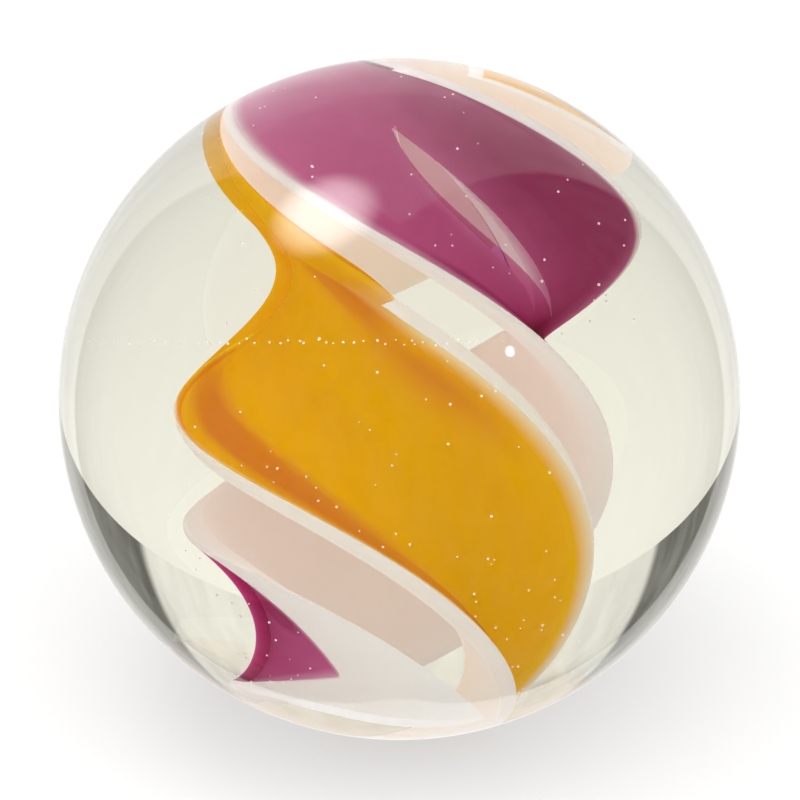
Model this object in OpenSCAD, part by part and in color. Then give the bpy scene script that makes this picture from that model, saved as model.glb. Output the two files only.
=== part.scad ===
// Clear glass marble with a twisted core of two ribbons, one amber and one purple.
// Each ribbon is coloured glass laid over a wider white strip, which shows as a pale border
// along both edges. A narrow leaf-shaped slit runs across the purple ribbon.
// The origin is the centre of the ball, and +Z is up as the marble lies: the core axis leans back
// from +Z towards +Y. Heights and azimuths below are along and about the core axis, before it leans:
// an azimuth is 0 at -Y and turns anticlockwise seen from the top. Lengths are in mm, angles in
// degrees.

/* [Ball] */

// Outside diameter of the clear glass ball
marble_diameter = 25;
// [18:0.5:50]

// Thickness of clear glass left over the ends of the ribbons at the two poles
end_cover = 0.08;
// [0.05:0.01:0.5]

/* [Core] */

// Lean of the core axis from the vertical, towards +Y
core_lean = 38;
// [0:1:90]

// Tilt of the core axis to the side, towards +X
core_tilt = 4;
// [-45:1:45]

// Distance from the core axis to the ribbon edges near the bottom pole
core_radius_bottom = 4.4;
// [3:0.1:5.6]

// Distance from the core axis to the ribbon edges at the middle of the ball
core_radius_middle = 5.5;
// [4:0.1:6.8]

// Distance from the core axis to the ribbon edges near the top pole
core_radius_top = 5.4;
// [3:0.1:5.8]

// Twist of the ribbons near the bottom pole, in degrees for each mm of height
twist_bottom = 20;
// [8:0.5:30]

// Twist of the ribbons at the middle of the ball, in degrees for each mm of height
twist_middle = 19.3;
// [8:0.5:30]

// Twist of the ribbons near the top pole, in degrees for each mm of height
twist_top = 18.5;
// [8:0.5:30]

// Azimuth of the amber ribbon's middle line, at the middle of the ball
core_turn = -43;
// [-180:1:180]

/* [Ribbon section] */

// Thickness of the coloured glass in the middle of each ribbon
colour_thickness = 0.4;
// [0.2:0.05:0.7]

// Thickness of the white glass behind the colour
white_thickness = 0.5;
// [0.3:0.05:0.8]

/* [Amber ribbon] */

// How round the amber ribbon lies across its width: 0 is a flat strip, 1 follows the core circle
amber_roundness = 0.4;
// [0.1:0.05:1]

// Half of the whole amber ribbon's width near the bottom pole, as an angle about the axis
amber_half_width_bottom = 62;
// [45:1:80]

// Half of the whole amber ribbon's width at the middle of the ball
amber_half_width_middle = 72;
// [45:1:80]

// Half of the whole amber ribbon's width near the top pole
amber_half_width_top = 78;
// [45:1:84]

// Width of the white border along the amber's lower edge
amber_lower_border = 3;
// [2:1:24]

// Width of the pale border along the amber's upper edge
amber_upper_border = 2;
// [2:1:24]

/* [Purple ribbon] */

// How round the purple ribbon lies across its width
purple_roundness = 0.2;
// [0.1:0.05:1]

// Angle from the amber's middle line to the purple's middle line near the bottom pole
purple_offset_bottom = 184;
// [170:1:200]

// Angle from the amber's middle line to the purple's middle line at the middle of the ball
purple_offset_middle = 176;
// [170:1:200]

// Angle from the amber's middle line to the purple's middle line near the top pole
purple_offset_top = 170;
// [170:1:200]

// Half of the whole purple ribbon's width near the bottom pole
purple_half_width_bottom = 52;
// [45:1:80]

// Half of the whole purple ribbon's width at the middle of the ball
purple_half_width_middle = 58;
// [45:1:80]

// Half of the whole purple ribbon's width near the top pole
purple_half_width_top = 74;
// [45:1:80]

// Width of the white border along the purple's lower edge
purple_lower_border = 6;
// [4:1:30]

// Width of the white border along the purple's upper edge
purple_upper_border = 4;
// [3:1:24]

// Height below which that border widens, measured from the middle of the ball
border_widening_height = -5;
// [-9:0.1:0]

// How fast it widens below there, in degrees for each mm of height
border_widening_rate = 6;
// [0:0.5:20]

/* [Slit in the purple ribbon] */

// Height of the slit's upper tip above the middle of the ball
slit_top_height = 7.2;
// [5:0.1:8.5]

// Height of the slit's lower tip above the middle of the ball
slit_bottom_height = 2.3;
// [0.5:0.1:4]

// Angle of the slit's upper tip from the purple's middle line
slit_top_angle = -3;
// [-10:1:20]

// Angle of the slit's lower tip from the purple's middle line
slit_bottom_angle = 14;
// [-10:1:25]

// Half of the slit's greatest width
slit_half_width = 6;
// [2:1:14]

/* [Hidden] */

ball_radius = marble_diameter / 2;
core_limit = ball_radius - end_cover;
// Heights at which the bottom and top values apply, and at which a ribbon's end is laid out
control_height = 0.8 * ball_radius;
end_height = 0.9 * ball_radius;
ribbon_thickness = colour_thickness + white_thickness;
// Share of the ribbon's thickness left at the very edge of a border
border_edge_share = 0.4;
// Least width of colour left between two borders, as an angle
least_colour_width = 14;
// Steps along the height, and columns across the width: the outermost two are the borders' edges
levels = 48;
colour_steps = 8;
last_column = colour_steps + 2;
// The slit's cutter reaches past both faces of the ribbon by this much
slit_overshoot = 0.4;
slit_steps = 14;
// The higher this is, the later along its length the slit turns towards its lower tip
slit_bend = 4;

// Curve through three values given at the bottom, middle and top control heights
function blend(low, mid, high, z) =
    let (s = max(-1, min(1, z / control_height)))
    mid + (high - low) / 2 * s + ((high + low) / 2 - mid) * s * s;

function core_radius(z) =
    blend(core_radius_bottom, core_radius_middle, core_radius_top, z);

// Azimuth of the amber's middle line: the twist summed from the middle of the ball up to z
function twist_angle(z) =
    let (
        slope = (twist_top - twist_bottom) / (2 * control_height),
        curve = ((twist_top + twist_bottom) / 2 - twist_middle) / pow(control_height, 2)
    )
    core_turn - (twist_middle * z + slope * pow(z, 2) / 2 + curve * pow(z, 3) / 3);

// A ribbon at a height: middle azimuth, half width, lower border, upper border, roundness
function amber_at(z) = [
    twist_angle(z),
    blend(amber_half_width_bottom, amber_half_width_middle, amber_half_width_top, z),
    amber_lower_border,
    amber_upper_border,
    amber_roundness
];

// The purple's upper border widens towards the bottom pole, as long as some purple is left
function purple_border_at(z) =
    let (
        half = blend(purple_half_width_bottom, purple_half_width_middle, purple_half_width_top, z),
        wanted = purple_upper_border + border_widening_rate * max(0, border_widening_height - z)
    )
    min(wanted, 2 * half - purple_lower_border - least_colour_width);

function purple_at(z) = [
    twist_angle(z) + blend(purple_offset_bottom, purple_offset_middle, purple_offset_top, z),
    blend(purple_half_width_bottom, purple_half_width_middle, purple_half_width_top, z),
    purple_lower_border,
    purple_border_at(z),
    purple_roundness
];

function strip_at(is_amber, z) = is_amber ? amber_at(z) : purple_at(z);

// Angle of a column from the ribbon's middle line
function column_angle(strip, column) =
    let (
        colour_low = strip[2] - strip[1],
        colour_high = strip[1] - strip[3]
    )
    column == 0 ? -strip[1]
    : column == last_column ? strip[1]
    : colour_low + (colour_high - colour_low) * (column - 1) / colour_steps;

// Point of a ribbon's cross-section, as [x, y], at an angle and a depth under its face
function section_point(is_amber, z, angle, depth) =
    let (
        strip = strip_at(is_amber, z),
        radius = core_radius(z),
        roundness = strip[4],
        across = radius * sin(angle),
        out = radius * (roundness * cos(angle) + (1 - roundness) * cos(strip[1])) - depth
    )
    [
        across * cos(strip[0]) + out * sin(strip[0]),
        across * sin(strip[0]) - out * cos(strip[0])
    ];

// Depths of the three sheets that bound the glass: 0 is the face, 1 lies between colour and
// white, and 2 is the rear. The colour runs out to nothing at its edges.
function colour_share(column) = max(0, min(1, min(column - 1, last_column - 1 - column) / 1.5));

function sheet_depth(sheet, column) =
    sheet == 0 ? 0
    : sheet == 1 ? colour_thickness * colour_share(column)
    : ribbon_thickness * ((column == 0 || column == last_column) ? border_edge_share : 1);

// Point of a sheet. The ribbon's ends follow the ball at an even depth.
function sheet_point(is_amber, sheet, level, column) =
    let (
        share = 2 * level / levels - 1,
        depth = sheet_depth(sheet, column),
        end_z = (share < 0 ? -1 : 1) * end_height,
        end_angle = column_angle(strip_at(is_amber, end_z), column),
        end_reach = norm(section_point(is_amber, end_z, end_angle, depth)),
        z = share * sqrt(pow(core_limit, 2) - pow(end_reach, 2)),
        angle = column_angle(strip_at(is_amber, z), column),
        p = section_point(is_amber, z, angle, depth)
    )
    [p[0], p[1], z];

function sheet_points(is_amber) = [
    for (sheet = [0 : 2], level = [0 : levels], column = [0 : last_column])
        sheet_point(is_amber, sheet, level, column)
];

// Number of a point in that list. Where the colour is absent, sheet 1 is sheet 0.
function index(sheet, level, column) =
    let (
        bare = sheet == 1 && (column <= 1 || column >= last_column - 1),
        used = bare ? 0 : sheet
    )
    (used * (levels + 1) + level) * (last_column + 1) + column;

// The same triangle, turned over when its back is the outside
function facing(triangle, outward) =
    outward ? triangle : [triangle[0], triangle[2], triangle[1]];

function sheet_faces(sheet, first, last, outward) = [
    for (level = [0 : levels - 1], column = [first : last - 1])
        let (
            a = index(sheet, level, column),
            b = index(sheet, level, column + 1),
            c = index(sheet, level + 1, column),
            d = index(sheet, level + 1, column + 1)
        )
        each [facing([a, c, b], outward), facing([b, c, d], outward)]
];

// Closes a border's edge between the sheets given
function edge_faces(near, far, column, outward) = [
    for (level = [0 : levels - 1])
        let (
            a = index(far, level, column),
            b = index(near, level, column),
            c = index(far, level + 1, column),
            d = index(near, level + 1, column)
        )
        each [facing([a, c, b], outward), facing([b, c, d], outward)]
];

// Closes the end of a ribbon between the sheets given
function end_faces(near, far, level, first, last) = [
    for (column = [first : last - 1])
        let (
            a = index(near, level, column),
            b = index(near, level, column + 1),
            c = index(far, level, column),
            d = index(far, level, column + 1),
            outward = level > 0
        )
        each concat(
            b == d ? [] : [facing([a, d, b], outward)],
            a == c ? [] : [facing([a, c, d], outward)]
        )
];

function both_ends(near, far, first, last) = concat(
    end_faces(near, far, 0, first, last),
    end_faces(near, far, levels, first, last)
);

module colour_layer(is_amber) {
    first = 1;
    last = last_column - 1;
    polyhedron(
        points = sheet_points(is_amber),
        faces = concat(
            sheet_faces(0, first, last, true),
            sheet_faces(1, first, last, false),
            both_ends(0, 1, first, last)
        )
    );
}

module white_layer(is_amber) {
    polyhedron(
        points = sheet_points(is_amber),
        faces = concat(
            sheet_faces(1, 0, last_column, true),
            sheet_faces(2, 0, last_column, false),
            edge_faces(1, 2, 0, true),
            edge_faces(1, 2, last_column, false),
            both_ends(1, 2, 0, last_column)
        )
    );
}

// Colour and white together, as the clear glass meets them
module whole_ribbon(is_amber) {
    polyhedron(
        points = sheet_points(is_amber),
        faces = concat(
            sheet_faces(0, 0, last_column, true),
            sheet_faces(2, 0, last_column, false),
            edge_faces(0, 2, 0, true),
            edge_faces(0, 2, last_column, false),
            both_ends(0, 1, 1, last_column - 1),
            both_ends(1, 2, 0, last_column)
        )
    );
}

// Corners of the slit's cutter at a step, taken round its opening
function slit_ring(step) =
    let (
        share = step / slit_steps,
        z = slit_top_height + (slit_bottom_height - slit_top_height) * share,
        middle = slit_top_angle + (slit_bottom_angle - slit_top_angle) * pow(share, slit_bend),
        half = max(0.25, slit_half_width * pow(sin(180 * share), 0.8)),
        outer = -slit_overshoot,
        inner = ribbon_thickness + slit_overshoot
    )
    [
        for (corner = [[-half, outer], [half, outer], [half, inner], [-half, inner]])
            let (p = section_point(false, z, middle + corner[0], corner[1]))
            [p[0], p[1], z]
    ];

module slit() {
    points = [for (step = [0 : slit_steps]) each slit_ring(step)];
    sides = [
        for (step = [0 : slit_steps - 1], k = [0 : 3])
            let (
                a = step * 4 + k,
                b = step * 4 + (k + 1) % 4,
                c = a + 4,
                d = b + 4
            )
            each [[a, b, c], [b, d, c]]
    ];
    end = slit_steps * 4;
    polyhedron(
        points = points,
        faces = concat(sides, [[0, 3, 2], [0, 2, 1], [end, end + 1, end + 2], [end, end + 2, end + 3]])
    );
}

// Sets what stands upright along the core axis into the pose in which the marble lies
module in_pose() {
    rotate([-core_lean, 0, 0])
        rotate([0, core_tilt, 0])
            children();
}

module amber_ribbon() {
    color([0.88, 0.60, 0.05])
        in_pose()
            colour_layer(true);
}

module amber_backing() {
    color([0.95, 0.93, 0.88])
        in_pose()
            white_layer(true);
}

module purple_ribbon() {
    color([0.55, 0.20, 0.42])
        in_pose()
            difference() {
                colour_layer(false);
                slit();
            }
}

module purple_backing() {
    color([0.94, 0.92, 0.92])
        in_pose()
            difference() {
                white_layer(false);
                slit();
            }
}

module clear_glass() {
    color([0.90, 0.90, 0.84, 0.35])
        difference() {
            sphere(r = ball_radius);
            in_pose()
                whole_ribbon(true);
            in_pose()
                difference() {
                    whole_ribbon(false);
                    slit();
                }
        }
}

clear_glass();
amber_ribbon();
amber_backing();
purple_ribbon();
purple_backing();
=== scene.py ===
import math
import random

import bpy
from mathutils import Matrix, Vector


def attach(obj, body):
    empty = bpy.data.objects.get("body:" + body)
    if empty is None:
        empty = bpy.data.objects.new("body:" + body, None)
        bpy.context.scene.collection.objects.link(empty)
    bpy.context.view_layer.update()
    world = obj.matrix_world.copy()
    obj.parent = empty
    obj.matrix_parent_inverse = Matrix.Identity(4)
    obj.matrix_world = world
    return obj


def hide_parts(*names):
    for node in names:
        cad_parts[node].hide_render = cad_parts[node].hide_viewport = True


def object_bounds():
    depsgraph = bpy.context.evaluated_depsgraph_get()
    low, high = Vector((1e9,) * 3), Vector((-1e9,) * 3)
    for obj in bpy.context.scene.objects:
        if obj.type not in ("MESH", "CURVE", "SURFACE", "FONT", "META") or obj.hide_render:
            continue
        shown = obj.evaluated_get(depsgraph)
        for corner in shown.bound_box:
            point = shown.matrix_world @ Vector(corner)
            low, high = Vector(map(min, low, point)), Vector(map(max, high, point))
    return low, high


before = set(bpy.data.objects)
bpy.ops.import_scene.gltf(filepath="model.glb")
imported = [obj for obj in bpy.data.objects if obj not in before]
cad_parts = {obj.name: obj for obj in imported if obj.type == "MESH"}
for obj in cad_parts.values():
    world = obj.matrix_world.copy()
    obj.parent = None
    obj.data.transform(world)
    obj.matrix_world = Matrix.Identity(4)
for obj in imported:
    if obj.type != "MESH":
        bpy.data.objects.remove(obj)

CAD_LOW, CAD_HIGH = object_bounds()

# The marble, in millimetres and degrees, with the same names as the part's source
MM = 0.001
BALL_RADIUS = (CAD_HIGH.x - CAD_LOW.x) / 2 / MM
BALL_CENTRE = (CAD_LOW + CAD_HIGH) / 2
CONTROL_HEIGHT = 0.8 * BALL_RADIUS
END_HEIGHT = 0.9 * BALL_RADIUS
END_COVER = 0.08
CORE_LEAN = 38
CORE_TILT = 4
CORE_RADIUS = (4.4, 5.5, 5.4)
CORE_TWIST = (20.0, 19.3, 18.5)
CORE_TURN = -43
COLOUR_THICKNESS = 0.4
WHITE_THICKNESS = 0.5
RIBBON_THICKNESS = COLOUR_THICKNESS + WHITE_THICKNESS
# The colour's rear sinks this far into the white, so that no light slips between them
COLOUR_SINK = 0.02
# How deep the amber goes where it wraps round the upper edge
WRAP_DEPTH = 1.12
BEAD_RISE = 0.22
COLOUR_STEPS = 8
LEAST_COLOUR = 14

AMBER = dict(
    offset=(0, 0, 0),
    half=(62, 72, 78),
    lower=3,
    upper=2,
    widening=0,
    roundness=0.4,
    lower_fade=0.35,
    upper_fade=0.45,
    wrap=(0.08, 0.28),
    start=-1.2,
)
PURPLE = dict(
    offset=(184, 176, 170),
    half=(52, 58, 74),
    lower=6,
    upper=4,
    widening=9,
    roundness=0.2,
    lower_fade=0.5,
    upper_fade=0.35,
    wrap=None,
    start=-0.8,
)
WIDENING_HEIGHT = -5

# The slit in the purple, from its upper tip to its lower one
SLIT_HEIGHTS = (7.2, 2.3)
SLIT_ANGLES = (-3, 14)
SLIT_HALF_WIDTH = 6
SLIT_BEND = 4
SLIT_OVERSHOOT = 0.4
SLIT_RULE = (6, 28)
# The thin skin of purple left across the slit
FILM_DEPTH = 0.84
FILM_THICKNESS = 0.06

# How finely the strips of glass are ruled, across and along
ACROSS = 44
ALONG = 150
# No layer is thinner than this away from its edges
LEAST_DEPTH = 0.002
LEAST_WHITE = 0.03

# The fine line of seed bubbles under the polish: how many, where, and how deep
LINE_SEEDS = 44
LINE_START = -11.4
LINE_LENGTH = 15.2
LINE_HEIGHT = 2.0
LINE_COVER = 0.35
STREWN_SEEDS = 210

POSE = Matrix.Rotation(math.radians(-CORE_LEAN), 3, "X") @ Matrix.Rotation(
    math.radians(CORE_TILT), 3, "Y"
)

# The camera looks down on the marble from the front, from this far off in metres, and the
# ball takes up this share of the picture's width
CAMERA_ELEVATION = 30
CAMERA_DISTANCE = 0.5
BALL_SHARE = 0.853
SENSOR_WIDTH = 36
CAMERA_SHIFT = (0.0006, -0.0014)

# The room: how bright each part is, and where it starts
ROOM_LIGHT = 0.78
SWEEP_LIGHT = 0.84
SWEEP_DROP = 0.2
SWEEP_EDGE = (0.84, 0.92)
SWEEP_TOP = (0.38, 0.44)
OVERHEAD_LIGHT = 9.0
FRONT_LIGHT = 4.9
TOP_LIGHT = 4.5
OVERHEAD_WAY = (-0.355, 0.157, 0.922)
OVERHEAD_EDGE = (0.955, 1.0)
FRONT_EDGE = (0.25, -0.25)
TOP_EDGE = (0.75, 0.95)
REAR_EDGE = (0.0, 0.05)
SIDE_STREAKS = 1.2
SIDE_BASE = 0.4
# How much of the sides' light is kept out of what the ball mirrors
MIRROR_DIMMING = 0.75
LAMP_WAY = (0.597, -0.53, 0.603)


# ---------------------------------------------------------------- the shape of the core

def blend(three, z):
    """Curve through the values at the bottom, middle and top control heights."""
    low, mid, high = three
    s = max(-1.0, min(1.0, z / CONTROL_HEIGHT))
    return mid + (high - low) / 2 * s + ((high + low) / 2 - mid) * s * s


def twist_angle(z):
    """Azimuth of the amber's middle line at a height along the core."""
    low, mid, high = CORE_TWIST
    slope = (high - low) / (2 * CONTROL_HEIGHT)
    curve = ((high + low) / 2 - mid) / CONTROL_HEIGHT ** 2
    return CORE_TURN - (mid * z + slope * z ** 2 / 2 + curve * z ** 3 / 3)


def borders_at(ribbon, z):
    """Half width of the ribbon, and the angles at which its colour starts and stops."""
    half = blend(ribbon["half"], z)
    upper = ribbon["upper"] + ribbon["widening"] * max(0.0, WIDENING_HEIGHT - z)
    upper = min(upper, 2 * half - ribbon["lower"] - LEAST_COLOUR)
    return half, ribbon["lower"] - half, half - upper


def column_angle(ribbon, z, column):
    """Angle of a column from the middle line. Columns run from 0 to the last, at the borders."""
    half, colour_low, colour_high = borders_at(ribbon, z)
    last = COLOUR_STEPS + 2
    if column < 1:
        return -half + (colour_low + half) * column
    if column > last - 1:
        return colour_high + (half - colour_high) * (column - last + 1)
    return colour_low + (colour_high - colour_low) * (column - 1) / COLOUR_STEPS


def section_point(ribbon, z, angle, depth):
    """Point of the ribbon's cross-section, at a depth under its face."""
    azimuth = math.radians(twist_angle(z) + blend(ribbon["offset"], z))
    radius = blend(CORE_RADIUS, z)
    half = blend(ribbon["half"], z)
    roundness = ribbon["roundness"]
    across = radius * math.sin(math.radians(angle))
    out = (
        radius
        * (
            roundness * math.cos(math.radians(angle))
            + (1 - roundness) * math.cos(math.radians(half))
        )
        - depth
    )
    return (
        across * math.cos(azimuth) + out * math.sin(azimuth),
        across * math.sin(azimuth) - out * math.cos(azimuth),
    )


def ribbon_point(ribbon, share, column, depth):
    """Point of a ribbon: share runs from -1 at the bottom end to 1 at the top end."""
    end_z = math.copysign(END_HEIGHT, share)
    reach = math.hypot(
        *section_point(ribbon, end_z, column_angle(ribbon, end_z, column), depth)
    )
    z = share * math.sqrt((BALL_RADIUS - END_COVER) ** 2 - reach ** 2)
    x, y = section_point(ribbon, z, column_angle(ribbon, z, column), depth)
    return POSE @ Vector((x, y, z)) * MM + BALL_CENTRE


def eased(share):
    """Rises from 0 to 1 with a soft start and a soft stop."""
    share = max(0.0, min(1.0, share))
    return share * share * (3 - 2 * share)


def wrapped(ribbon, share):
    """How far the amber wraps round its upper edge here: fully near the top end."""
    if ribbon["wrap"] is None:
        return 0.0
    low, high = ribbon["wrap"]
    return eased((share - low) / (high - low))


def colour_edge(ribbon, share):
    """Column at which the colour stops: its own last one, or the ribbon's very edge."""
    return COLOUR_STEPS + 1 + wrapped(ribbon, share)


def white_edge(ribbon, share):
    """Column at which the white stops: the ribbon's edge, or short of it under the amber."""
    return COLOUR_STEPS + 2 - 1.15 * wrapped(ribbon, share)


def colour_depth(ribbon, column, share):
    """Depth of the colour: it thins out over the borders, and is deepest where it wraps."""
    inside = max(0.0, colour_edge(ribbon, share) - column)
    lower = eased((column - 1) / ribbon["lower_fade"])
    thin = COLOUR_THICKNESS * lower * eased(inside / ribbon["upper_fade"]) ** 0.5
    deep = COLOUR_THICKNESS + (WRAP_DEPTH - COLOUR_THICKNESS) * eased((1.9 - inside) / 0.9)
    deep = deep * math.sqrt(min(1.0, inside / 0.25))
    depth = thin + (deep - thin) * wrapped(ribbon, share)
    if inside < 1e-6 or column < 1 + 1e-6:
        return 0.0
    return max(LEAST_DEPTH, depth * eased((share - ribbon["start"]) / 0.05))


def colour_rise(ribbon, column, share):
    """The wrapped edge is a bead, and stands a little above the face."""
    inside = max(0.0, colour_edge(ribbon, share) - column)
    if inside < 1e-6:
        return 0.0
    rise = BEAD_RISE * eased((1.9 - inside) / 0.9) * math.sqrt(min(1.0, inside / 0.25))
    return -rise * wrapped(ribbon, share)


def rim(column):
    """1 at the edge of the ribbon, and 0 from the inner side of its border on."""
    return max(0.0, 1 - min(column, COLOUR_STEPS + 2 - column))


def face_depth(column):
    """The face turns over softly at the edges of the borders."""
    return 0.2 * RIBBON_THICKNESS * rim(column) ** 2


def rear_depth(column):
    """The rear curves up to meet the face at the edges of the borders."""
    return RIBBON_THICKNESS * (1 - 0.6 * rim(column) ** 2)


# ---------------------------------------------------------------- working the glass

def nothing_selected():
    if bpy.context.mode != "OBJECT":
        bpy.ops.object.mode_set(mode="OBJECT")
    bpy.ops.object.select_all(action="DESELECT")


def only(piece):
    nothing_selected()
    piece.select_set(True)
    bpy.context.view_layer.objects.active = piece


def flat_strip(name, across, along):
    """A flat strip of glass, ruled into columns and rows, before it is bent and twisted."""
    nothing_selected()
    bpy.ops.mesh.primitive_grid_add(x_subdivisions=across, y_subdivisions=along, size=1)
    strip = bpy.context.active_object
    strip.name = name
    strip.data.name = name
    return strip


def finer_at_edges(share):
    """Sets the columns of a strip closer together towards its two edges."""
    return (1 - math.cos(math.pi * share)) / 2


def drawn(name, place, across, along):
    """Strip drawn to its place: place(u, v) gives a point for u and v from 0 to 1."""
    strip = flat_strip(name, across, along)
    mesh = strip.data
    ruled = [(finer_at_edges(vertex.co.x + 0.5), vertex.co.y + 0.5) for vertex in mesh.vertices]
    for side, number in (("across", 0), ("along", 1)):
        mark = mesh.attributes.new(side, "FLOAT", "POINT")
        for vertex, uv in zip(mesh.vertices, ruled):
            mark.data[vertex.index].value = uv[number]
    for vertex, uv in zip(mesh.vertices, ruled):
        vertex.co = place(*uv)
    return strip


def keep_ruling(solid):
    """Writes the ruling of the strip into its UV map, where a cut leaves it whole."""
    mesh = solid.data
    across, along = mesh.attributes["across"].data, mesh.attributes["along"].data
    ruled = mesh.uv_layers.active.data
    for loop in mesh.loops:
        place = loop.vertex_index
        ruled[loop.index].uv = (across[place].value, along[place].value)
    mesh.attributes.remove(mesh.attributes["across"])
    mesh.attributes.remove(mesh.attributes["along"])


def closed_from(name, front, rear, ends_only=False):
    """Joins a front and a rear sheet along their edges into one closed solid."""
    only(rear)
    bpy.ops.object.mode_set(mode="EDIT")
    bpy.ops.mesh.select_all(action="SELECT")
    bpy.ops.mesh.flip_normals()
    bpy.ops.object.mode_set(mode="OBJECT")
    only(front)
    rear.select_set(True)
    bpy.ops.object.join()
    solid = bpy.context.active_object
    solid.name = name
    solid.data.name = name
    bpy.ops.object.mode_set(mode="EDIT")
    bpy.ops.mesh.select_all(action="SELECT")
    bpy.ops.mesh.remove_doubles(threshold=1e-7)
    bpy.ops.mesh.select_all(action="DESELECT")
    bpy.ops.mesh.select_mode(type="EDGE")
    bpy.ops.mesh.select_non_manifold(
        extend=False, use_wire=False, use_multi_face=False, use_non_contiguous=False
    )
    bpy.ops.object.mode_set(mode="OBJECT")
    bpy.ops.object.mode_set(mode="EDIT")
    if ends_only:
        bpy.ops.mesh.fill_holes(sides=0)
    else:
        bpy.ops.mesh.bridge_edge_loops()
    bpy.ops.object.mode_set(mode="OBJECT")
    bpy.ops.object.mode_set(mode="EDIT")
    bpy.ops.mesh.select_all(action="SELECT")
    bpy.ops.mesh.quads_convert_to_tris(quad_method="BEAUTY", ngon_method="BEAUTY")
    bpy.ops.mesh.normals_make_consistent(inside=False)
    bpy.ops.object.mode_set(mode="OBJECT")
    keep_ruling(solid)
    return solid


def smooth(piece):
    """Rounds the shading of faces, and keeps the sharp arrises."""
    only(piece)
    bpy.ops.object.shade_smooth_by_angle(angle=math.radians(40))


def strip_place(ribbon, first, edge, depth):
    """Where a strip's ruling goes: from its first column to its edge, at the depth given."""
    def place(u, v):
        share = 2 * v - 1
        column = first + (edge(ribbon, share) - first) * u
        return ribbon_point(ribbon, share, column, depth(column, share))
    return place


def colour_strip(name, ribbon):
    """The coloured glass of a ribbon, from its face down into the white."""
    def face(column, share):
        return colour_rise(ribbon, column, share)

    def back(column, share):
        return colour_depth(ribbon, column, share) * (1 + COLOUR_SINK / COLOUR_THICKNESS)

    front = drawn(name, strip_place(ribbon, 1, colour_edge, face), ACROSS, ALONG)
    rear = drawn(name + "_rear", strip_place(ribbon, 1, colour_edge, back), ACROSS, ALONG)
    return closed_from(name, front, rear, ends_only=True)


def white_strip(name, ribbon):
    """The white glass of a ribbon, behind the colour and out to both edges."""
    def face(column, share):
        return max(face_depth(column), colour_depth(ribbon, column, share))

    def back(column, share):
        return max(rear_depth(column), face(column, share) + LEAST_WHITE)

    front = drawn(name, strip_place(ribbon, 0, white_edge, face), ACROSS, ALONG)
    rear = drawn(
        name + "_rear", strip_place(ribbon, 0, white_edge, back), ACROSS, ALONG
    )
    return closed_from(name, front, rear)


def slit_place(depth):
    """The leaf-shaped cut runs slantwise over the purple ribbon, with a tip at both ends."""
    def place(u, v):
        z = SLIT_HEIGHTS[0] + (SLIT_HEIGHTS[1] - SLIT_HEIGHTS[0]) * v
        middle = SLIT_ANGLES[0] + (SLIT_ANGLES[1] - SLIT_ANGLES[0]) * v ** SLIT_BEND
        half = max(0.25, SLIT_HALF_WIDTH * max(0.0, math.sin(math.pi * v)) ** 0.8)
        x, y = section_point(PURPLE, z, middle + half * (2 * u - 1), depth)
        return POSE @ Vector((x, y, z)) * MM + BALL_CENTRE
    return place


def slit_cutter():
    front = drawn("slit", slit_place(-SLIT_OVERSHOOT), *SLIT_RULE)
    rear = drawn("slit_rear", slit_place(RIBBON_THICKNESS + SLIT_OVERSHOOT), *SLIT_RULE)
    return closed_from("slit", front, rear)


def slit_film():
    """A thin skin of purple left across the slit, low between its walls."""
    front = drawn("slit_film", slit_place(FILM_DEPTH), *SLIT_RULE)
    rear = drawn("slit_film_rear", slit_place(FILM_DEPTH + FILM_THICKNESS), *SLIT_RULE)
    return closed_from("slit_film", front, rear)


def joined(piece, other):
    only(piece)
    other.select_set(True)
    bpy.ops.object.join()
    return piece


def slit_open(piece, cutter):
    only(piece)
    cut = piece.modifiers.new("slit", "BOOLEAN")
    cut.operation = "DIFFERENCE"
    cut.solver = "EXACT"
    cut.object = cutter
    bpy.ops.object.modifier_apply(modifier=cut.name)


def seed(place, size):
    nothing_selected()
    bpy.ops.mesh.primitive_ico_sphere_add(subdivisions=1, radius=size * MM, location=place)
    return bpy.context.active_object


def seed_bubbles():
    """Specks and tiny bubbles caught in the glass: a faint line of them under the polish on
    the front, and the rest strewn over the two ribbons."""
    chance = random.Random(7)
    rise = math.radians(CAMERA_ELEVATION)
    up = Vector((0, math.sin(rise), math.cos(rise)))
    toward = Vector((0, -up.z, up.y))
    seeds = []
    for step in range(LINE_SEEDS):
        along = LINE_LENGTH * step / (LINE_SEEDS - 1)
        across = LINE_START + along + chance.uniform(-0.15, 0.15)
        high = LINE_HEIGHT + chance.gauss(0, 0.05)
        deep = math.sqrt(max(0.0, (BALL_RADIUS - LINE_COVER) ** 2 - across ** 2 - high ** 2))
        place = (Vector((across, 0, 0)) + up * high + toward * deep) * MM + BALL_CENTRE
        seeds.append(seed(place, chance.uniform(0.024, 0.055)))
    for step in range(STREWN_SEEDS):
        ribbon = AMBER if chance.random() < 0.5 else PURPLE
        place = ribbon_point(
            ribbon,
            chance.uniform(-0.85, 0.85),
            chance.uniform(1, COLOUR_STEPS + 1),
            -abs(chance.gauss(0, 0.5)) - 0.08,
        )
        seeds.append(seed(place, chance.uniform(0.02, 0.045)))
    nothing_selected()
    for one in seeds:
        one.select_set(True)
    bpy.context.view_layer.objects.active = seeds[0]
    bpy.ops.object.join()
    bpy.ops.object.transform_apply(location=True, rotation=True, scale=True)
    bubbles = bpy.context.active_object
    bubbles.name = "seed_bubbles"
    bubbles.data.name = "seed_bubbles"
    return bubbles


def glass_ball():
    nothing_selected()
    bpy.ops.mesh.primitive_ico_sphere_add(
        subdivisions=7, radius=BALL_RADIUS * MM, location=BALL_CENTRE
    )
    ball = bpy.context.active_object
    ball.name = "polished_ball"
    ball.data.name = "polished_ball"
    bpy.ops.object.transform_apply(location=True, rotation=True, scale=True)
    bpy.ops.object.shade_smooth()
    return ball


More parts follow.
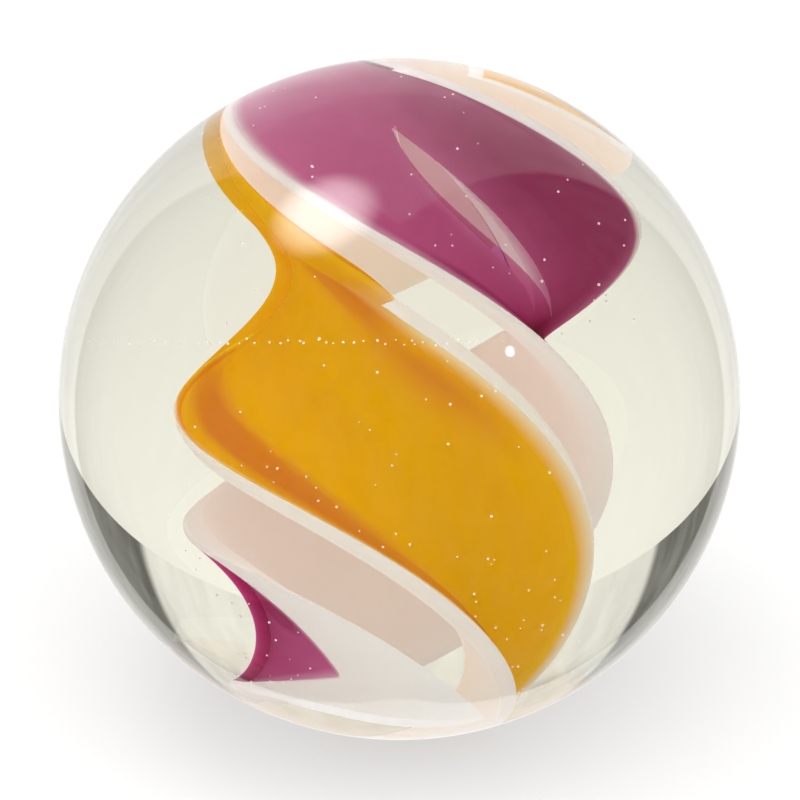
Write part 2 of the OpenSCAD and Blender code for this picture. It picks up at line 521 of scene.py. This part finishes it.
# ---------------------------------------------------------------- materials

class Sums:
    """Writes sums in a shader, one small node for each step."""

    def __init__(self, nodes, links):
        self.nodes, self.links = nodes, links

    def __call__(self, operation, *values):
        node = self.nodes.new("ShaderNodeMath")
        node.operation = operation
        for socket, value in zip(node.inputs, values):
            if isinstance(value, (int, float)):
                socket.default_value = value
            else:
                self.links.new(value, socket)
        return node.outputs["Value"]

    def step(self, value, low, high):
        node = self.nodes.new("ShaderNodeMapRange")
        node.interpolation_type = "SMOOTHSTEP"
        node.inputs["From Min"].default_value = low
        node.inputs["From Max"].default_value = high
        self.links.new(value, node.inputs["Value"])
        return node.outputs["Result"]


def new_material(name):
    material = bpy.data.materials.new(name)
    material.use_nodes = True
    nodes = material.node_tree.nodes
    return material, nodes, material.node_tree.links, nodes["Principled BSDF"]


def absorbs(nodes, links, colour, density):
    """Glass that takes its colour from its depth."""
    volume = nodes.new("ShaderNodeVolumeAbsorption")
    volume.inputs["Color"].default_value = (*colour, 1)
    volume.inputs["Density"].default_value = density
    links.new(volume.outputs["Volume"], nodes["Material Output"].inputs["Volume"])


def effect(name, given, build):
    """A shader node group with number inputs and one Value output, built once by name."""
    group = bpy.data.node_groups.get(name)
    if group:
        return group
    group = bpy.data.node_groups.new(name, "ShaderNodeTree")
    for socket in given:
        group.interface.new_socket(name=socket, in_out="INPUT", socket_type="NodeSocketFloat")
    group.interface.new_socket(name="Value", in_out="OUTPUT", socket_type="NodeSocketFloat")
    inside = group.nodes.new("NodeGroupInput").outputs
    result = build(group.nodes, group.links, inside)
    group.links.new(result, group.nodes.new("NodeGroupOutput").inputs["Value"])
    return group


def placed(nodes, links, group, **values):
    """Puts an effect into a material with values of its own, each a number or a socket."""
    node = nodes.new("ShaderNodeGroup")
    node.node_tree = group
    for name, value in values.items():
        socket = node.inputs[name.replace("_", " ").title()]
        if isinstance(value, (int, float)):
            socket.default_value = value
        else:
            links.new(value, socket)
    return node.outputs["Value"]


def drift_effect():
    """Slow, faint unevenness of glass worked by hand, between Low and High."""
    def build(nodes, links, given):
        coords, noise = nodes.new("ShaderNodeTexCoord"), nodes.new("ShaderNodeTexNoise")
        spread = nodes.new("ShaderNodeMapRange")
        noise.inputs["Detail"].default_value = 2
        links.new(coords.outputs["Object"], noise.inputs["Vector"])
        links.new(given["Scale"], noise.inputs["Scale"])
        links.new(noise.outputs["Fac"], spread.inputs["Value"])
        links.new(given["Low"], spread.inputs["To Min"])
        links.new(given["High"], spread.inputs["To Max"])
        return spread.outputs["Result"]
    return effect("glass_drift", ("Scale", "Low", "High"), build)


def flow_effect():
    """Streaks drawn out along a ribbon as it was twisted."""
    def build(nodes, links, given):
        coords, noise = nodes.new("ShaderNodeTexCoord"), nodes.new("ShaderNodeTexNoise")
        stretch, size = nodes.new("ShaderNodeVectorMath"), nodes.new("ShaderNodeCombineXYZ")
        stretch.operation = "MULTIPLY"
        noise.inputs["Scale"].default_value = 1.0
        links.new(given["Across"], size.inputs["X"])
        links.new(given["Along"], size.inputs["Y"])
        links.new(coords.outputs["UV"], stretch.inputs[0])
        links.new(size.outputs["Vector"], stretch.inputs[1])
        links.new(stretch.outputs["Vector"], noise.inputs["Vector"])
        links.new(given["Detail"], noise.inputs["Detail"])
        return noise.outputs["Fac"]
    return effect("drawn_streaks", ("Across", "Along", "Detail"), build)


def band_effect():
    """A soft oval where the tint turns darker, at a place on the ribbon."""
    def build(nodes, links, given):
        sums = Sums(nodes, links)
        beside = sums("DIVIDE", sums("SUBTRACT", given["Across"], given["Middle"]), given["Width"])
        before = sums("DIVIDE", sums("SUBTRACT", given["Along"], given["Height"]), given["Length"])
        squares = sums("ADD", sums("MULTIPLY", beside, beside), sums("MULTIPLY", before, before))
        band = sums("SUBTRACT", 1.0, sums.step(sums("SQRT", squares), 0.0, 1.0))
        return sums("MULTIPLY", band, given["Strength"])
    names = ("Across", "Along", "Middle", "Height", "Width", "Length", "Strength")
    return effect("darker_band", names, build)


def mixed_colour(nodes, links, share, first, second):
    """Blend of two colours, each a plain value or a socket."""
    mix = nodes.new("ShaderNodeMix")
    mix.data_type = "RGBA"
    mix.clamp_factor = True
    links.new(share, mix.inputs[0])
    for socket, value in ((mix.inputs[6], first), (mix.inputs[7], second)):
        if isinstance(value, tuple):
            socket.default_value = (*value, 1)
        else:
            links.new(value, socket)
    return mix.outputs[2]


def clear_glass():
    """The ball: clear, with a slight straw tint that comes from its depth."""
    material, nodes, links, shader = new_material("clear_glass")
    shader.inputs["Base Color"].default_value = (1, 1, 1, 1)
    shader.inputs["Transmission Weight"].default_value = 1
    polish = placed(nodes, links, drift_effect(), scale=280, low=0.0, high=0.02)
    links.new(polish, shader.inputs["Roughness"])
    shader.inputs["IOR"].default_value = 1.52
    absorbs(nodes, links, (0.49, 0.45, 0.0), 15.0)
    return material


def colour_glass(name, tint, deep_tint, fades, wraps, starts, colour, density, bands):
    """Coloured glass inside clear glass: light passes straight in, and is filtered on its way.

    The tint fades out over the two edges of the ribbon, by the shares given, except along
    the part where it wraps round the upper edge. It starts part of the way up. Bands where the
    tint turns darker each have a place across and along the ribbon, a width, a length and a
    strength."""
    material, nodes, links, shader = new_material(name)
    sums = Sums(nodes, links)
    coords = nodes.new("ShaderNodeTexCoord")
    sides = nodes.new("ShaderNodeSeparateXYZ")
    links.new(coords.outputs["UV"], sides.inputs["Vector"])
    across, along = sides.outputs["X"], sides.outputs["Y"]
    flow = placed(nodes, links, flow_effect(), across=5, along=3, detail=4)
    sway = sums("MULTIPLY", sums("SUBTRACT", flow, 0.5), 0.12)
    place = sums("ADD", across, sway)
    deep = sums("MULTIPLY", sums.step(flow, 0.4, 0.8), 0.15)
    # Soft ovals where the tint turns darker, at the places listed in bands.
    for middle, height, width, length, strength in bands:
        band = placed(
            nodes,
            links,
            band_effect(),
            across=place,
            along=along,
            middle=middle,
            height=height,
            width=width,
            length=length,
            strength=strength,
        )
        deep = sums("ADD", deep, band)
    low, high = fades
    upper_edge = sums("MAXIMUM", sums.step(across, 1.0, 1.0 - high), sums.step(along, *wraps))
    cover = sums("MULTIPLY", sums.step(across, 0.0, low), upper_edge)
    cover = sums("MULTIPLY", cover, sums.step(along, *starts))
    darkened_tint = mixed_colour(nodes, links, deep, tint, deep_tint)
    filtered = mixed_colour(nodes, links, cover, (1, 1, 1), darkened_tint)
    links.new(filtered, shader.inputs["Base Color"])
    shader.inputs["Transmission Weight"].default_value = 1
    shader.inputs["Roughness"].default_value = 0
    shader.inputs["IOR"].default_value = 1.0
    absorbs(nodes, links, colour, density)
    return material


def skin_glass():
    """The purple left across the slit is thin, and so much paler."""
    material, nodes, links, shader = new_material("purple_skin")
    thin = placed(nodes, links, drift_effect(), scale=450, low=0.0, high=1.0)
    mauve = mixed_colour(nodes, links, thin, (0.70, 0.47, 0.66), (0.61, 0.37, 0.57))
    links.new(mauve, shader.inputs["Base Color"])
    shader.inputs["Transmission Weight"].default_value = 1
    shader.inputs["Roughness"].default_value = 0
    shader.inputs["IOR"].default_value = 1.0
    return material


def speck_glass():
    """Seed bubbles and specks: pale, with a painted glow (emission) that makes them bright enough
    to show against the colours.
    """
    material, nodes, links, shader = new_material("pale_specks_painted_glow")
    shader.inputs["Base Color"].default_value = (0.98, 0.97, 0.95, 1)
    dull = placed(nodes, links, drift_effect(), scale=2400, low=0.2, high=0.5)
    links.new(dull, shader.inputs["Roughness"])
    # Painted glow: the specks emit light though they are no lamp.
    shader.inputs["Emission Color"].default_value = (1.0, 0.97, 0.9, 1)
    shader.inputs["Emission Strength"].default_value = 0.35
    return material


def white_glass(name, white, cream, lets_through, painted_glow):
    """Milky glass: most light comes back and some goes through. A painted cream glow (emission)
    adds light of its own, as if more light reached it.
    """
    material, nodes, links, shader = new_material(name)
    streaks = placed(nodes, links, flow_effect(), across=14, along=2.2, detail=3)
    milky = mixed_colour(nodes, links, streaks, white, cream)
    links.new(milky, shader.inputs["Base Color"])
    shader.inputs["Roughness"].default_value = 0.6
    shader.inputs["Specular IOR Level"].default_value = 0.0
    # Painted glow: the white glass emits cream light though it is no lamp, to brighten it as if
    # more light reached it.
    shader.inputs["Emission Color"].default_value = (*cream, 1)
    shader.inputs["Emission Strength"].default_value = painted_glow
    through = nodes.new("ShaderNodeBsdfTranslucent")
    links.new(milky, through.inputs["Color"])
    milk = nodes.new("ShaderNodeMixShader")
    milk.inputs["Fac"].default_value = lets_through
    links.new(shader.outputs["BSDF"], milk.inputs[1])
    links.new(through.outputs["BSDF"], milk.inputs[2])
    links.new(milk.outputs["Shader"], nodes["Material Output"].inputs["Surface"])
    return material


# ---------------------------------------------------------------- the stage

def emitter(name, strength):
    material = bpy.data.materials.new(name)
    material.use_nodes = True
    nodes, links = material.node_tree.nodes, material.node_tree.links
    nodes.remove(nodes["Principled BSDF"])
    light = nodes.new("ShaderNodeEmission")
    light.inputs["Color"].default_value = (1, 1, 1, 1)
    light.inputs["Strength"].default_value = strength
    links.new(light.outputs["Emission"], nodes["Material Output"].inputs["Surface"])
    return material


def small_lamp(direction, distance, radius):
    """A little bright lamp that only shows as a glint on the polished ball."""
    nothing_selected()
    way = Vector(direction).normalized()
    bpy.ops.mesh.primitive_circle_add(vertices=24, radius=radius, fill_type="NGON")
    lamp = bpy.context.active_object
    lamp.name = "small_lamp"
    lamp.rotation_euler = way.to_track_quat("Z", "Y").to_euler()
    lamp.location = BALL_CENTRE + way * distance
    lamp.data.materials.append(emitter("small_lamp", 14))
    lamp.visible_camera = False
    lamp.visible_diffuse = False
    lamp.visible_transmission = False
    lamp.visible_shadow = False


def floor():
    """A pale floor that touches the ball, and isn't mirrored in it."""
    nothing_selected()
    bpy.ops.mesh.primitive_circle_add(
        vertices=96,
        radius=1.8,
        fill_type="NGON",
        location=(BALL_CENTRE.x, BALL_CENTRE.y, CAD_LOW.z),
    )
    sheet = bpy.context.active_object
    sheet.name = "pale_floor"
    material, nodes, links, shader = new_material("pale_floor")
    shader.inputs["Base Color"].default_value = (0.12, 0.12, 0.12, 1)
    shader.inputs["Roughness"].default_value = 0.9
    shader.inputs["Specular IOR Level"].default_value = 0.0
    shader.inputs["Emission Color"].default_value = (1, 1, 1, 1)
    shader.inputs["Emission Strength"].default_value = 0.56
    sheet.data.materials.append(material)
    sheet.visible_glossy = False


def surroundings():
    """A white sweep behind the marble, darker sides, and a soft light overhead. Light from the
    front and from above reaches the ribbons, and isn't mirrored in the ball."""
    world = bpy.data.worlds.new("studio")
    bpy.context.scene.world = world
    world.use_nodes = True
    nodes, links = world.node_tree.nodes, world.node_tree.links
    sums = Sums(nodes, links)
    coords = nodes.new("ShaderNodeTexCoord")
    parts = nodes.new("ShaderNodeSeparateXYZ")
    links.new(coords.outputs["Generated"], parts.inputs["Vector"])
    x, y, z = (parts.outputs[axis] for axis in "XYZ")
    aside = sums("DIVIDE", sums("ABSOLUTE", x), sums("MAXIMUM", y, 0.001))
    rear = sums.step(y, *REAR_EDGE)
    behind = sums("MULTIPLY", rear, sums("SUBTRACT", 1.0, sums.step(aside, *SWEEP_EDGE)))
    high = sums.step(z, *SWEEP_TOP)
    sweep = sums(
        "MULTIPLY", behind, sums("SUBTRACT", SWEEP_LIGHT, sums("MULTIPLY", high, SWEEP_DROP))
    )
    toward = nodes.new("ShaderNodeVectorMath")
    toward.operation = "DOT_PRODUCT"
    toward.inputs[1].default_value = Vector(OVERHEAD_WAY).normalized()
    links.new(coords.outputs["Generated"], toward.inputs[0])
    mirrored = nodes.new("ShaderNodeLightPath").outputs["Is Glossy Ray"]
    lit = sums("SUBTRACT", 1.0, mirrored)
    glow = sums(
        "MULTIPLY", sums.step(toward.outputs["Value"], *OVERHEAD_EDGE), OVERHEAD_LIGHT
    )
    fill = sums("MULTIPLY", sums.step(y, *FRONT_EDGE), sums("MULTIPLY", lit, FRONT_LIGHT))
    top = sums("MULTIPLY", sums.step(z, *TOP_EDGE), sums("MULTIPLY", lit, TOP_LIGHT))
    streaks = nodes.new("ShaderNodeTexNoise")
    streaks.inputs["Scale"].default_value = 3.0
    streaks.inputs["Detail"].default_value = 5
    upright = nodes.new("ShaderNodeMapping")
    upright.inputs["Scale"].default_value = (4, 4, 0.6)
    links.new(coords.outputs["Generated"], upright.inputs["Vector"])
    links.new(upright.outputs["Vector"], streaks.inputs["Vector"])
    sides = sums("MULTIPLY", sums.step(streaks.outputs["Fac"], 0.2, 0.8), SIDE_STREAKS * ROOM_LIGHT)
    total = sums(
        "MULTIPLY",
        sums("ADD", sides, SIDE_BASE * ROOM_LIGHT),
        sums("SUBTRACT", 1.0, sums("MULTIPLY", mirrored, MIRROR_DIMMING)),
    )
    for part in (sweep, glow, fill, top):
        total = sums("ADD", part, total)
    background = nodes["Background"]
    background.inputs["Color"].default_value = (1.0, 0.995, 0.985, 1)
    links.new(total, background.inputs["Strength"])


def camera():
    data = bpy.data.cameras.new("camera")
    eye = bpy.data.objects.new("camera", data)
    bpy.context.collection.objects.link(eye)
    rise = math.radians(CAMERA_ELEVATION)
    back = Vector((0, -math.cos(rise), math.sin(rise)))
    eye.location = BALL_CENTRE + back * CAMERA_DISTANCE
    eye.rotation_euler = back.to_track_quat("Z", "Y").to_euler()
    seen_radius = math.tan(math.asin(BALL_RADIUS * MM / CAMERA_DISTANCE))
    data.sensor_width = SENSOR_WIDTH
    data.lens = SENSOR_WIDTH / 2 * BALL_SHARE / seen_radius
    data.shift_x, data.shift_y = CAMERA_SHIFT
    data.clip_start = 0.01
    data.clip_end = 20
    bpy.context.scene.camera = eye


# ---------------------------------------------------------------- making the marble

camera()
surroundings()
floor()
small_lamp(LAMP_WAY, 1.0, 0.03)

ball = glass_ball()
ball.data.materials.append(clear_glass())
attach(ball, "root")
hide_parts("clear_glass")

AMBER_GLASS = colour_glass(
    "amber_glass",
    tint=(0.94, 0.5, 0.0),
    deep_tint=(0.76, 0.22, 0.01),
    fades=(0.03, 0.11),
    wraps=(0.54, 0.62),
    starts=(-0.1, -0.05),
    colour=(0.99, 0.95, 0.55),
    density=1200,
    bands=(
        (0.16, 0.42, 0.10, 0.20, 1.7),
        (0.09, 0.22, 0.09, 0.20, 1.8),
        (0.86, 0.60, 0.14, 0.07, 1.3),
        (0.80, 0.50, 0.14, 0.10, 0.8),
    ),
)
PURPLE_GLASS = colour_glass(
    "purple_glass",
    tint=(0.65, 0.13, 0.36),
    deep_tint=(0.38, 0.04, 0.15),
    fades=(0.09, 0.03),
    wraps=(1.1, 1.2),
    starts=(0.10, 0.125),
    colour=(0.82, 0.4, 0.65),
    density=1100,
    bands=(
        (0.85, 0.74, 0.55, 0.24, 1.2),
        (0.93, 0.21, 0.10, 0.04, 2.0),
        (0.96, 0.88, 0.1, 0.14, 0.8),
        (0.08, 0.62, 0.10, 0.06, 1.3),
    ),
)
# The last number of each white is its painted glow, an emission that brightens it as if more light
# reached it.
WARM_WHITE = white_glass("warm_white_glass", (0.97, 0.96, 0.94), (0.95, 0.92, 0.88), 0.1, 0.17)
COOL_WHITE = white_glass("cool_white_glass", (0.97, 0.965, 0.96), (0.95, 0.93, 0.91), 0.2, 0.16)

cutter = slit_cutter()
for name, ribbon, shape, glass, slot in (
    ("amber_layer", AMBER, colour_strip, AMBER_GLASS, "amber_glass"),
    ("amber_white", AMBER, white_strip, WARM_WHITE, "white_glass"),
    ("purple_layer", PURPLE, colour_strip, PURPLE_GLASS, "purple_glass"),
    ("purple_white", PURPLE, white_strip, COOL_WHITE, "white_glass"),
):
    piece = shape(name, ribbon)
    if ribbon is PURPLE:
        slit_open(piece, cutter)
    smooth(piece)
    piece.data.materials.clear()
    piece.data.materials.append(glass)
    if glass is PURPLE_GLASS:
        film = slit_film()
        film.data.materials.append(skin_glass())
        piece = joined(piece, film)
    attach(piece, "root")
    node = name.replace("layer", "ribbon").replace("white", "backing")
    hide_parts(node)
bpy.data.objects.remove(cutter)

bubbles = seed_bubbles()
bubbles.data.materials.append(speck_glass())
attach(bubbles, "root")
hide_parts("clear_glass")

scene = bpy.context.scene
scene.view_settings.view_transform = "Standard"
scene.view_settings.look = "None"
scene.view_settings.exposure = 0
scene.view_settings.gamma = 1
scene.cycles.max_bounces = 18
scene.cycles.transmission_bounces = 18
scene.cycles.diffuse_bounces = 9
scene.cycles.glossy_bounces = 6
